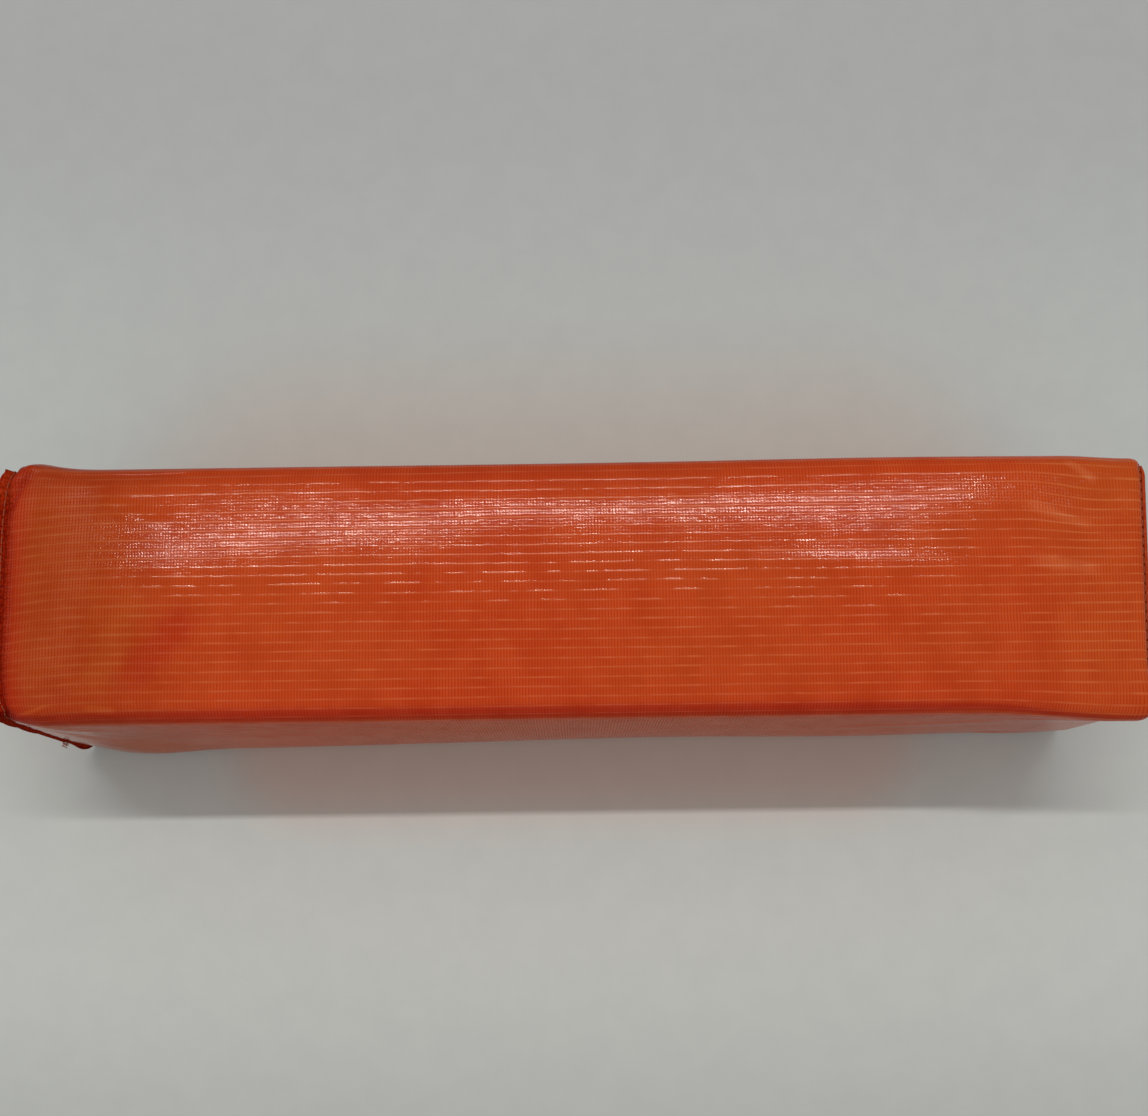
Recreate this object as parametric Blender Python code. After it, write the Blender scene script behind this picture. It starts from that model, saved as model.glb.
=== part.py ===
"""Football end zone pylon, lying on one of its long sides.

One sheet of coated fabric is wrapped round a square foam block, and a square panel closes each
end. A tied bag of sand sits in a pocket in the base end of the block, behind a foam plug. +X runs
from the base to the top of the pylon and +Y to its far side, and the pylon lies on z = 0.

Sizes along the pylon are measured from the base face of the foam block, and a depth is measured
inwards from the outside of the cover.
"""

import itertools
import math

import bmesh
import bpy
from mathutils import Matrix, Vector

# Driving sizes, in metres
FOAM_LENGTH = 0.4572
FOAM_WIDTH = 0.1016
SHEET = 0.0007
GAP = 0.0003

# Cover: long edges, crowned sides and seam allowances
LONG_EDGE_RADIUS = 0.006
LEAST_EDGE_RADIUS = 0.001
SIDE_CROWN = 0.0008
ALLOWANCE = 0.010
EDGE_STEPS = 4
ARC_STEPS = 4
BODY_STEPS = 8
SIDE_SHARES = (0.15, 0.5, 0.85)

# Base end: the foam edge, the valley along the seam and the rim of raw edges beyond it
BASE_EDGE_RADIUS = 0.004
VALLEY_DEPTH = 0.0039
VALLEY_RADIUS = 0.0012
SHOULDER_ANGLE = math.radians(65)
RIM_LENGTH = 0.005
RIM_FLARE = math.radians(15)
PANEL_BEND = 0.0017
EAR = 0.0015
EAR_ROOT_SHARE = 0.55

# Top end: the foam edge and the folded edge of the panel
TOP_EDGE_RADIUS = 0.0035
FOLD_DEPTH_SHARE = 0.67
NOSE_RADIUS_SHARE = 0.48

# Thread
THREAD = 0.0005
BASE_SEAM_SHARE = 0.3
TOP_SEAM_ANGLE = math.radians(66)
TAIL_BEND = 0.0024
TAIL_TURN = math.radians(80)
TAIL_PLACE_SHARE = 0.4
TAIL_STEPS = 8
TAIL_SIDES = 6

# Weight in the base end
POCKET_WIDTH = 0.074
POCKET_DEPTH = 0.130
POCKET_EDGE_RADIUS = 0.008
PLUG_LENGTH = 0.016
BAG_SHEET = 0.0005
BAG_EDGE_RADIUS = 0.014
BAG_END_RADIUS = 0.010
NECK_RADIUS = 0.007
NECK_BORE_RADIUS = 0.001
NECK_LENGTH = 0.016
BAG_SHOULDER = 0.018
NECK_ROUND_SHARE = 0.9
SAND_LEVEL_SHARE = 0.4
TIE_WIDTH = 0.0046
TIE_THICKNESS = 0.0013
TIE_HEAD_LENGTH = 0.008
TIE_HEAD_HEIGHT = 0.005
TIE_HEAD_WIDTH_SHARE = 0.65
TIE_PLACE_SHARE = 0.45
OVERRUN = 0.002

# Sizes and places worked out from the ones above
LAYER = SHEET + GAP
HALF = FOAM_WIDTH / 2 + LAYER
SHOULDER_RADIUS = BASE_EDGE_RADIUS + LAYER
ROLL_RADIUS = TOP_EDGE_RADIUS + LAYER
TIP_X = -LAYER - RIM_LENGTH
TOP_X = FOAM_LENGTH + LAYER
MIDDLE_X = (TIP_X + TOP_X) / 2
FOLD_X = TOP_X - SHEET - LAYER
WRAP_END_X = FOLD_X - GAP
REBATE_X = WRAP_END_X - LAYER
FOLD_DEPTH = ROLL_RADIUS * FOLD_DEPTH_SHARE
REBATE_DEPTH = ROLL_RADIUS + ALLOWANCE + GAP
SHOULDER_X = BASE_EDGE_RADIUS - SHOULDER_RADIUS * math.tan(SHOULDER_ANGLE / 2)
VALLEY_X = SHOULDER_X - VALLEY_DEPTH / math.tan(SHOULDER_ANGLE)
EAR_ROOT_X = TIP_X + (VALLEY_X - TIP_X) * EAR_ROOT_SHARE
BASE_SEAM_X = VALLEY_X + (TIP_X - VALLEY_X) * BASE_SEAM_SHARE
SEAM_START_X = SHOULDER_RADIUS + ALLOWANCE
SEAM_END_X = WRAP_END_X - ROLL_RADIUS - ALLOWANCE

EIGHTH_TURN = math.radians(45)
QUARTER_TURN = math.radians(90)
SMOOTH_ANGLE = math.radians(40)
NEAR_SIDE = 2
AXES = Matrix.Identity(3)


def material(name, colour, roughness, metallic=0.0):
    """A plain surface of one colour."""
    surface = bpy.data.materials.new(name)
    surface.use_nodes = True
    shader = surface.node_tree.nodes["Principled BSDF"]
    shader.inputs["Base Color"].default_value = (*colour, 1.0)
    shader.inputs["Roughness"].default_value = roughness
    shader.inputs["Metallic"].default_value = metallic
    return surface


def show(name, mesh, surface):
    """Makes the named object of a finished mesh, shaded smooth where it is round."""
    bmesh.ops.recalc_face_normals(mesh, faces=mesh.faces)
    data = bpy.data.meshes.new(name)
    mesh.to_mesh(data)
    mesh.free()
    data.materials.append(surface)
    data.shade_smooth()
    data.set_sharp_from_angle(angle=SMOOTH_ANGLE)
    piece = bpy.data.objects.new(name, data)
    bpy.context.scene.collection.objects.link(piece)
    return piece


def guide(name, mesh, surface):
    """Makes a helper shape for a Boolean, which isn't a piece of the pylon."""
    helper = show(name, mesh, surface)
    helper.hide_render = True
    helper.display_type = "WIRE"
    return helper


def combine(piece, helper, operation):
    """Joins a helper shape to a piece, or cuts it out."""
    step = piece.modifiers.new(helper.name, "BOOLEAN")
    step.operation = operation
    step.solver = "EXACT"
    step.object = helper


def direction(angle):
    """Unit vector in the section plane, measured from +Y towards +Z."""
    return Vector((math.cos(angle), math.sin(angle)))


def place(x, point):
    """Point in space of a section point at x, with the pylon lying on z = 0."""
    return Vector((x - MIDDLE_X, point[0], point[1] + HALF))


def fillet(corners, radii):
    """Rounds the inner corners of an open line of (x, depth) points."""
    line = [Vector(corners[0])]
    for before, corner, after, radius in zip(corners, corners[1:], corners[2:], radii):
        corner = Vector(corner)
        if radius == 0:
            line.append(corner)
            continue
        arrive = (corner - Vector(before)).normalized()
        leave = (Vector(after) - corner).normalized()
        turn = math.atan2(arrive.cross(leave), arrive.dot(leave))
        start = corner - arrive * radius * math.tan(abs(turn) / 2)
        side = math.copysign(1, turn)
        centre = start + Vector((-arrive.y, arrive.x)) * radius * side
        for step in range(ARC_STEPS + 1):
            line.append(centre + Matrix.Rotation(turn * step / ARC_STEPS, 2) @ (start - centre))
    line.append(Vector(corners[-1]))
    return line


def offset(line, distance):
    """Moves an open line to its left, with mitred corners."""
    runs = [(b - a).normalized() for a, b in zip(line, line[1:])]
    lefts = [Vector((-run.y, run.x)) for run in runs]
    moved = []
    for point, before, after in zip(line, [lefts[0]] + lefts, lefts + [lefts[-1]]):
        mitre = (before + after).normalized()
        moved.append(point + mitre * distance / mitre.dot(after))
    return moved


def split_longest(line):
    """Divides the longest run of a line into equal stretches along the body."""
    runs = [(b - a).length for a, b in zip(line, line[1:])]
    at = runs.index(max(runs))
    between = [line[at].lerp(line[at + 1], step / BODY_STEPS) for step in range(1, BODY_STEPS)]
    return line[: at + 1] + between + line[at + 1 :]


def crown_fade(x):
    """Share of the side crown at x: none at the ends of the block and all of it in the middle."""
    along = min(max(x / FOAM_LENGTH, 0.0), 1.0)
    return 1 - (2 * along - 1) ** 4


def ear_fade(x):
    """Share of the corner ears at x: none up to their root and all of it at the rim's raw edge."""
    return min(max((EAR_ROOT_X - x) / (EAR_ROOT_X - TIP_X), 0.0), 1.0)


def section(x, depth, slit=0.0):
    """Points round the pylon at x, from its far lower long edge up, over and back to that edge."""
    radius = max(LONG_EDGE_RADIUS - depth, LEAST_EDGE_RADIUS)
    flat = HALF - depth - radius
    points = []
    for corner in range(5):
        middle = (2 * corner - 1) * EIGHTH_TURN
        first = middle if corner == 0 else middle - EIGHTH_TURN
        last = middle if corner == 4 else middle + EIGHTH_TURN
        steps = EDGE_STEPS if 0 < corner < 4 else EDGE_STEPS // 2
        centre = direction(middle) * (flat * math.sqrt(2) + EAR * ear_fade(x))
        for step in range(steps + 1):
            points.append(centre + direction(first + (last - first) * step / steps) * radius)
        if corner == 4:
            break
        outward = direction(corner * QUARTER_TURN)
        along = direction((corner + 1) * QUARTER_TURN)
        crown = SIDE_CROWN * crown_fade(x) if corner < 3 else 0.0
        for share in SIDE_SHARES:
            rise = crown * 4 * share * (1 - share)
            points.append(outward * (HALF - depth + rise) + along * flat * (2 * share - 1))
    if slit == 0:
        return points[:-1]
    points[0] = points[0] + direction(EIGHTH_TURN) * slit / 2
    points[-1] = points[-1] - direction(EIGHTH_TURN) * slit / 2
    return points


def square(half, radius):
    """Points round a plain square section with rounded corners."""
    points = []
    for corner in range(4):
        middle = (2 * corner + 1) * EIGHTH_TURN
        centre = direction(middle) * (half - radius) * math.sqrt(2)
        for step in range(EDGE_STEPS + 1):
            angle = middle - EIGHTH_TURN + QUARTER_TURN * step / EDGE_STEPS
            points.append(centre + direction(angle) * radius)
    return points


def skin(rings, ends="disc"):
    """A solid from closed rings of points, each joined to the next.

    Its ends are flat discs, or strips where the rings run along one face of a sheet and back along
    the other, or the last ring is joined to the first.
    """
    mesh = bmesh.new()
    rows = [[mesh.verts.new(point) for point in ring] for ring in rings]
    count = len(rows[0])
    pairs = list(zip(rows, rows[1:]))
    if ends == "joined":
        pairs.append((rows[-1], rows[0]))
    for row, following in pairs:
        for at in range(count):
            after = (at + 1) % count
            mesh.faces.new((row[at], row[after], following[after], following[at]))
    for row in (rows[0], rows[-1]):
        if ends == "disc":
            mesh.faces.new(row)
        if ends == "strip":
            for at in range(count // 2 - 1):
                mesh.faces.new((row[at], row[at + 1], row[count - 2 - at], row[count - 1 - at]))
    return mesh


def cover_skin(line):
    """A solid swept round the pylon, with an open line of (x, depth) points as its outline."""
    return skin([[place(x, point) for point in section(x, depth)] for x, depth in line])


def square_skin(stations):
    """A solid of plain square sections, from (x, half width, corner radius) stations."""
    return skin([[place(x, point) for point in square(half, radius)] for x, half, radius in stations])


def add_box(mesh, centre, *half_axes):
    """Adds a box to a mesh, given its centre and three half axes."""
    a, b, c = half_axes
    signs = (-1, 1)
    corners = {}
    for i, j, k in itertools.product(signs, repeat=3):
        corners[i, j, k] = mesh.verts.new(centre + a * i + b * j + c * k)
    for sign in signs:
        for order in ((0, 1, 2), (1, 2, 0), (2, 0, 1)):
            face = []
            for i, j in ((-1, -1), (1, -1), (1, 1), (-1, 1)):
                key = [0, 0, 0]
                key[order[0]] = sign
                key[order[1]] = i
                key[order[2]] = j
                face.append(corners[tuple(key)])
            mesh.faces.new(face)


def seam_reaches(start, end):
    """Reaches along one wall from the middle of the seam's edge, with steps round the edge."""
    quarter = LONG_EDGE_RADIUS * EIGHTH_TURN
    steps = EDGE_STEPS // 2
    return [start + (quarter - start) * step / steps for step in range(steps)] + [quarter, end]


def seam_band(wall, x_range, outline):
    """A strip along the far lower long edge, from (reach, depth) points round its section."""
    quarter = LONG_EDGE_RADIUS * EIGHTH_TURN
    centre = HALF - LONG_EDGE_RADIUS
    ring = []
    for reach, depth in outline:
        if reach < quarter:
            spoke = direction(reach / LONG_EDGE_RADIUS - EIGHTH_TURN) * (LONG_EDGE_RADIUS - depth)
            point = Vector((centre, -centre)) + spoke
        else:
            point = Vector((HALF - depth, reach - quarter - centre))
        ring.append(point if wall == "far" else Vector((-point.y, -point.x)))
    return skin([[place(x, point) for point in ring] for x in x_range])


def rim_depth(x):
    """Depth of the outside of the base rim at x, on its straight run out from the valley."""
    return VALLEY_DEPTH - (VALLEY_X - x) * math.tan(RIM_FLARE)


def cover_wrap(surface):
    """The one sheet round the four sides, its two long edges turned in and pressed open."""
    corners = [
        (TIP_X, rim_depth(TIP_X)),
        (EAR_ROOT_X, rim_depth(EAR_ROOT_X)),
        (VALLEY_X, VALLEY_DEPTH),
        (SHOULDER_X, 0.0),
        (WRAP_END_X, 0.0),
        (WRAP_END_X, ROLL_RADIUS + ALLOWANCE),
    ]
    outside = split_longest(fillet(corners, (0, VALLEY_RADIUS, SHOULDER_RADIUS, ROLL_RADIUS)))
    inside = offset(outside, SHEET)
    inside[0].x = TIP_X
    stations = [[place(x, point) for point in section(x, depth, GAP)] for x, depth in outside + inside[::-1]]
    wrap = show("cover_wrap", skin(list(zip(*stations)), "strip"), surface)
    fold = GAP
    outline = [(fold, SHEET / 2), (fold + SHEET, SHEET / 2)]
    outline += [(reach, LAYER) for reach in seam_reaches(fold + SHEET, ALLOWANCE)]
    outline += [(reach, LAYER + SHEET) for reach in seam_reaches(fold, ALLOWANCE)[::-1]]
    for wall in ("far", "low"):
        band = seam_band(wall, (SEAM_START_X, SEAM_END_X), outline)
        combine(wrap, guide("allowance_" + wall, band, surface), "UNION")


def base_end_panel(surface):
    """The square that closes the base, its edges turned out along the inside of the rim."""
    step_in = LAYER / math.cos(RIM_FLARE)
    corners = [(x, rim_depth(x) + step_in) for x in (TIP_X, EAR_ROOT_X, -GAP)] + [(-GAP, REBATE_DEPTH)]
    outside = fillet(corners, (0, PANEL_BEND))
    inside = offset(outside, SHEET)
    inside[0].x = TIP_X
    show("base_end_panel", cover_skin(outside[::-1] + inside), surface)


def top_end_panel(surface):
    """The square that closes the top, its edges folded under and caught in the turned seam."""
    nose = (TOP_X - FOLD_X) * NOSE_RADIUS_SHARE
    end_depth = FOLD_DEPTH + ALLOWANCE
    corners = [(FOLD_X, end_depth), (FOLD_X, FOLD_DEPTH), (TOP_X, FOLD_DEPTH), (TOP_X, end_depth)]
    outside = fillet(corners, (nose, nose))
    show("top_end_panel", cover_skin(outside[::-1] + offset(outside, SHEET)), surface)


def foam_core(surface):
    """The square block, rebated under the top seam, relieved along the long seam and pocketed."""
    corners = [
        (0.0, REBATE_DEPTH),
        (0.0, LAYER),
        (REBATE_X, LAYER),
        (REBATE_X, REBATE_DEPTH),
        (FOAM_LENGTH, REBATE_DEPTH),
    ]
    line = split_longest(fillet(corners, (BASE_EDGE_RADIUS, TOP_EDGE_RADIUS, 0)))
    core = show("foam_core", cover_skin(line), surface)
    outline = [(reach, LAYER / 2) for reach in seam_reaches(-SHEET, ALLOWANCE + GAP)]
    outline += [(reach, 2 * LAYER) for reach in seam_reaches(-SHEET, ALLOWANCE + GAP)[::-1]]
    for wall in ("far", "low"):
        band = seam_band(wall, (-OVERRUN, FOAM_LENGTH + OVERRUN), outline)
        combine(core, guide("relief_" + wall, band, surface), "DIFFERENCE")
    pocket = square_skin([(x, POCKET_WIDTH / 2, POCKET_EDGE_RADIUS) for x in (-OVERRUN, POCKET_DEPTH)])
    combine(core, guide("pocket", pocket, surface), "DIFFERENCE")


def foam_plug(surface):
    """The slab of foam that closes the pocket's mouth, flush with the base of the block."""
    half = POCKET_WIDTH / 2 - GAP
    show("foam_plug", square_skin([(x, half, POCKET_EDGE_RADIUS - GAP) for x in (0.0, PLUG_LENGTH)]), surface)


def bag_skin(line):
    """A bag-shaped solid from (x, minus half width) points: round at its neck, square at its body."""
    rings = [(x, -low, min(-low * NECK_ROUND_SHARE, BAG_EDGE_RADIUS)) for x, low in line]
    return square_skin(rings)


def weight(bag_surface, sand_surface, tie_surface):
    """The bag, the sand that fills it and the tie round its neck."""
    mouth = PLUG_LENGTH + GAP
    neck_end = mouth + NECK_LENGTH
    body = neck_end + BAG_SHOULDER
    bottom = POCKET_DEPTH - GAP
    half = POCKET_WIDTH / 2 - GAP
    bottom_half = half - BAG_EDGE_RADIUS
    outer = [
        (mouth, -NECK_RADIUS),
        (neck_end, -NECK_RADIUS),
        (body, -half),
        (bottom, -half),
        (bottom, -bottom_half),
    ]
    inner_half = half - BAG_SHEET
    inner_bottom = bottom - BAG_SHEET
    inner = [
        (neck_end, -NECK_BORE_RADIUS),
        (body, -inner_half),
        (inner_bottom, -inner_half),
        (inner_bottom, -bottom_half),
    ]
    outer_line = fillet(outer, (0, 0, BAG_END_RADIUS))
    inner_line = fillet(inner, (0, BAG_END_RADIUS - BAG_SHEET))
    neck_hole = [Vector((mouth, -NECK_BORE_RADIUS))]
    show("weight_bag", bag_skin(outer_line[::-1] + neck_hole + inner_line), bag_surface)

    sand_line = offset(inner_line, GAP)
    sand_line[0] = sand_line[0].lerp(sand_line[1], SAND_LEVEL_SHARE)
    show("sand_fill", bag_skin(sand_line), sand_surface)

    tie_x = mouth + NECK_LENGTH * TIE_PLACE_SHARE
    ends = (tie_x - TIE_WIDTH / 2, tie_x + TIE_WIDTH / 2)
    inside = NECK_RADIUS + GAP
    round_part = NECK_RADIUS * NECK_ROUND_SHARE + GAP
    band = square_skin([(x, inside + TIE_THICKNESS, round_part + TIE_THICKNESS) for x in ends])
    tie = show("bag_tie", band, tie_surface)
    head = bmesh.new()
    head_centre = place(tie_x, (0.0, inside + TIE_HEAD_HEIGHT / 2))
    half_axes = (TIE_WIDTH * TIE_HEAD_WIDTH_SHARE, TIE_HEAD_LENGTH / 2, TIE_HEAD_HEIGHT / 2)
    add_box(head, head_centre, *(axis * size for axis, size in zip(AXES, half_axes)))
    combine(tie, guide("tie_head", head, tie_surface), "UNION")
    hole = square_skin([(x, inside, round_part) for x in (ends[0] - OVERRUN, ends[1] + OVERRUN)])
    combine(tie, guide("tie_hole", hole, tie_surface), "DIFFERENCE")


def thread_ring(name, x, depth, lean, lift, surface):
    """A seam's thread round the four sides, lifted off a face at x and depth that leans outwards."""
    away = Vector((math.sin(lean), -math.cos(lean)))
    across = Vector((math.cos(lean), math.sin(lean)))
    centre = Vector((x, depth)) + away * lift
    rings = []
    for i, j in ((-1, -1), (1, -1), (1, 1), (-1, 1)):
        corner = centre + (across * i + away * j) * THREAD / 2
        rings.append([place(corner.x, point) for point in section(corner.x, corner.y)])
    show(name, skin(rings, "joined"), surface)


def base_seam_threads(surface):
    """Both threads of the base seam: the needle's outside the rim and the bobbin's inside it."""
    depth = rim_depth(BASE_SEAM_X)
    lift = GAP + THREAD / 2
    inner_lift = -(LAYER + SHEET + lift)
    thread_ring("base_seam_needle_thread", BASE_SEAM_X, depth, RIM_FLARE, lift, surface)
    thread_ring("base_seam_bobbin_thread", BASE_SEAM_X, depth, RIM_FLARE, inner_lift, surface)


def top_seam_thread(surface):
    """The thread in the groove between the wrap and the folded edge of the top panel."""
    x = WRAP_END_X - ROLL_RADIUS * (1 - math.sin(TOP_SEAM_ANGLE))
    depth = ROLL_RADIUS * (1 - math.cos(TOP_SEAM_ANGLE))
    thread_ring("top_seam_thread", x, depth, TOP_SEAM_ANGLE, GAP + THREAD / 2, surface)


def wrap_seam_thread(surface):
    """The thread along the far lower long edge, where the wrap's two edges meet."""
    mesh = bmesh.new()
    outward = direction(-EIGHTH_TURN)
    edge = outward * (math.sqrt(2) * (HALF - LONG_EDGE_RADIUS) + LONG_EDGE_RADIUS + GAP + THREAD / 2)
    half_axes = (
        AXES[0] * (SEAM_END_X - SEAM_START_X) / 2,
        Vector((0.0, *direction(EIGHTH_TURN))) * THREAD / 2,
        Vector((0.0, *outward)) * THREAD / 2,
    )
    add_box(mesh, place((SEAM_START_X + SEAM_END_X) / 2, edge), *half_axes)
    show("wrap_seam_thread", mesh, surface)


def thread_tail(surface):
    """The loose end of the needle thread, curling off the near side of the base seam."""
    outward = Vector((0.0, *direction(NEAR_SIDE * QUARTER_TURN)))
    along = Vector((0.0, *direction((NEAR_SIDE + 1) * QUARTER_TURN)))
    across = AXES[0] * math.cos(RIM_FLARE) - outward * math.sin(RIM_FLARE)
    away = outward * math.cos(RIM_FLARE) + AXES[0] * math.sin(RIM_FLARE)
    seat = place(BASE_SEAM_X, outward.yz * (HALF - rim_depth(BASE_SEAM_X)))
    start = seat + along * HALF * TAIL_PLACE_SHARE + away * (2 * GAP + THREAD * 3 / 2)
    centre = start + away * TAIL_BEND
    rings = []
    for step in range(TAIL_STEPS + 1):
        angle = TAIL_TURN * step / TAIL_STEPS
        spoke = along * math.sin(angle) - away * math.cos(angle)
        ring = []
        for side in range(TAIL_SIDES):
            out = direction(math.tau * side / TAIL_SIDES)
            ring.append(centre + spoke * (TAIL_BEND + out.x * THREAD / 2) + across * out.y * THREAD / 2)
        rings.append(ring)
    show("thread_tail", skin(rings), surface)


def build():
    """Clears the scene and makes every piece of the pylon."""
    for old in list(bpy.data.objects):
        bpy.data.objects.remove(old)
    vinyl = material("coated_fabric", (0.52, 0.07, 0.017), 0.35)
    foam = material("open_cell_foam", (0.72, 0.70, 0.58), 0.95)
    film = material("bag_film", (0.75, 0.75, 0.72), 0.4)
    sand = material("dry_sand", (0.55, 0.42, 0.26), 0.95)
    nylon = material("tie_nylon", (0.80, 0.79, 0.74), 0.4)
    thread = material("sewing_thread", (0.60, 0.13, 0.04), 0.7)
    cover_wrap(vinyl)
    base_end_panel(vinyl)
    top_end_panel(vinyl)
    foam_core(foam)
    foam_plug(foam)
    weight(film, sand, nylon)
    base_seam_threads(thread)
    top_seam_thread(thread)
    wrap_seam_thread(thread)
    thread_tail(thread)


build()
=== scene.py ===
"""Looks of the football end zone pylon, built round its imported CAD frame.

The pylon lies on one long side. +X runs from its weighted base to its top, +Y to its far side
and +Z up. A place on the cover has two cloth coordinates: how far along the sheet it lies, from
the raw edge of the base rim, and how far round the sheet, from the long seam on the far lower
edge over the far side, the top face and the near side to the underside.
"""

import collections
import math

import bpy
import numpy as np
from mathutils import Euler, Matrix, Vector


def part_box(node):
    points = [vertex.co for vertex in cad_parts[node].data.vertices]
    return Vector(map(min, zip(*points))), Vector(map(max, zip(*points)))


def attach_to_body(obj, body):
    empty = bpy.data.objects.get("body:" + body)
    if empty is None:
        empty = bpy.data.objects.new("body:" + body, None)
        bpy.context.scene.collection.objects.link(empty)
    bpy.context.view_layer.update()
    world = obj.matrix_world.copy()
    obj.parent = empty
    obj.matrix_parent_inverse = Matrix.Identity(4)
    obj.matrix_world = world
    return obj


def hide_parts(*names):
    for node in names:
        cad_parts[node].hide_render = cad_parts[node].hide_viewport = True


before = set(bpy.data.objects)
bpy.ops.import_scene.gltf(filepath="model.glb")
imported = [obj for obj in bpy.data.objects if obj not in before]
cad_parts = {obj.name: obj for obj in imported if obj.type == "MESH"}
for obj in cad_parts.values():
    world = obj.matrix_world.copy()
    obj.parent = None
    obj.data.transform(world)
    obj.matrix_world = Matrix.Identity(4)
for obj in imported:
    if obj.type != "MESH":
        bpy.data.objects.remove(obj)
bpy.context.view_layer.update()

# Sizes read from the frame, in metres
WRAP_LOW, WRAP_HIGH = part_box("cover_wrap")
PANEL_LOW, PANEL_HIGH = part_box("top_end_panel")
BASE_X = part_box("foam_core")[0].x
TAIL_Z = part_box("thread_tail")[0].z
RIM_X = WRAP_LOW.x
WRAP_END_X = WRAP_HIGH.x
TOP_X = PANEL_HIGH.x
HALF = (PANEL_LOW.z + PANEL_HIGH.z) / 2

# Construction sizes, as in the CAD part
MM = 0.001
SHEET = 0.7 * MM
GAP = 0.3 * MM
LAYER = SHEET + GAP
EDGE_RADIUS = 9 * MM
LEAST_RADIUS = 1 * MM
SIDE_CROWN = 0.8 * MM
SHOULDER_RADIUS = 5 * MM
SHOULDER_ANGLE = math.radians(65)
VALLEY_DEPTH = 3.9 * MM
VALLEY_RADIUS = 1.2 * MM
SHOULDER_X = BASE_X + 0.815 * MM
VALLEY_X = SHOULDER_X - VALLEY_DEPTH / math.tan(SHOULDER_ANGLE)
RIM_FLARE = math.radians(15)
ROLL_RADIUS = 4.5 * MM
ALLOWANCE = 10 * MM
FOLD_DEPTH = PANEL_LOW.z
FOLD_X = PANEL_LOW.x
THREAD = 0.5 * MM

# Sampling of the surfaces
SIDE_STEPS = 42
CORNER_STEPS = 12
SEAM_STEPS = 9
FINE = 0.55 * MM
COARSE = 2.6 * MM
SEAM_CROWDING = 1.8
BEND_STEPS = 24
LINE_STEPS = 4000

# Places round the sheet
FLAT = 2 * (HALF - EDGE_RADIUS)
QUARTER = EDGE_RADIUS * math.pi / 2
SIDE_PITCH = FLAT + QUARTER
PERIMETER = 4 * SIDE_PITCH
FAR_TOP = SIDE_PITCH
NEAR_TOP = 2 * SIDE_PITCH
NEAR_LOW = 3 * SIDE_PITCH

Ring = collections.namedtuple("Ring", "centre normal around")
Line = collections.namedtuple("Line", "x depth along normal_x normal_out")


def direction(angle):
    """Unit vector in the section plane, measured from +Y towards +Z."""
    return np.array([np.cos(angle), np.sin(angle)])


def blend(low, high, value):
    """Smooth step from 0 at low to 1 at high."""
    t = np.clip((value - low) / (high - low), 0, 1)
    return t * t * (3 - 2 * t)


def hump(value, place, reach):
    """Soft hump of height 1 at a place, that has nearly gone at twice its reach."""
    return np.exp(-(((value - place) / reach) ** 2))


def soft_noise(a, b, seed):
    """Soft random field between -1 and 1 over two arrays of lattice coordinates."""
    size = 64
    table = np.random.default_rng(seed).uniform(-1, 1, (size, size))
    a, b = np.broadcast_arrays(a, b)
    i = np.floor(a).astype(int)
    j = np.floor(b).astype(int)
    p = blend(0, 1, a - i)
    q = blend(0, 1, b - j)
    first, second = (
        table[(i + step) % size, j % size] * (1 - q) + table[(i + step) % size, (j + 1) % size] * q
        for step in (0, 1)
    )
    return first * (1 - p) + second * p


# Section and outline of the sheets

def make_ring():
    """Points round the section, from the middle of the far lower edge round to it again."""
    by_seam = (np.arange(SEAM_STEPS) / SEAM_STEPS) ** SEAM_CROWDING / 2
    even = np.arange(CORNER_STEPS) / CORNER_STEPS - 0.5
    last = np.concatenate([[-0.5], -by_seam[:0:-1]])
    centres, normals, around = [], [], []
    for corner, turns in enumerate((by_seam, even, even, even, last)):
        middle = (2 * corner - 1) * math.pi / 4
        for turn in turns:
            centres.append(direction(middle) * math.sqrt(2))
            normals.append(direction(middle + turn * math.pi / 2))
            around.append(corner * SIDE_PITCH + turn * QUARTER)
        if corner == 4:
            break
        outward = direction(corner * math.pi / 2)
        onward = direction((corner + 1) * math.pi / 2)
        for share in np.arange(SIDE_STEPS) / SIDE_STEPS:
            centres.append(outward + onward * (2 * share - 1))
            normals.append(outward)
            around.append(corner * SIDE_PITCH + QUARTER / 2 + share * FLAT)
    return Ring(np.array(centres), np.array(normals), np.array(around))


def rounded(corners, radii):
    """Dense points along an open line of (x, depth) corners with rounded bends."""
    points = [np.array(corners[0])]
    for before, corner, after, radius in zip(corners, corners[1:], corners[2:], radii):
        corner = np.array(corner)
        arrive = corner - np.array(before)
        arrive /= np.linalg.norm(arrive)
        leave = np.array(after) - corner
        leave /= np.linalg.norm(leave)
        turn = math.atan2(arrive[0] * leave[1] - arrive[1] * leave[0], arrive @ leave)
        start = corner - arrive * radius * math.tan(abs(turn) / 2)
        centre = start + np.array([-arrive[1], arrive[0]]) * math.copysign(radius, turn)
        spoke = start - centre
        for angle in np.linspace(0, turn, BEND_STEPS):
            c, s = direction(angle)
            points.append(centre + np.array([[c, -s], [s, c]]) @ spoke)
    points.append(np.array(corners[-1]))
    return np.array(points)


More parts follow.
